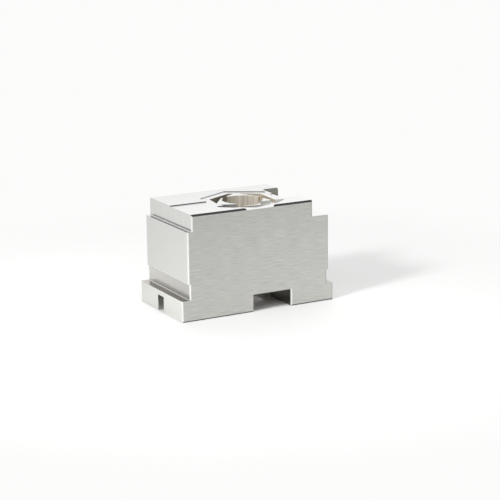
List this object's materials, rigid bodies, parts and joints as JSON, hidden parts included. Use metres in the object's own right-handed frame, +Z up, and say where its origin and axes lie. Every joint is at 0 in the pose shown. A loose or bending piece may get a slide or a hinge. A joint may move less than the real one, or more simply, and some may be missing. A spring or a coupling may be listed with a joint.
{
  "type": "mounting block",
  "caption": "Milled aluminium mounting block with feet, an underside notch and keyway, ledges, an end slot, and a bore ringed by lock pockets in its top.",
  "frame": {"origin": "centre of the underside, midway between the outer ends of the feet and between the front and back faces", "axes": "+Z up, along the bore; +X along the long front face, towards the end with the slot; -Y is the front"},
  "size_m": [0.145, 0.08, 0.0907],
  "materials": {
    "machined_aluminium": "milled, with fine straight brushing and bright broken edges"
  },
  "bodies": {
    "root": {"mounting_block": "machined_aluminium"}
  },
  "joints": []
}
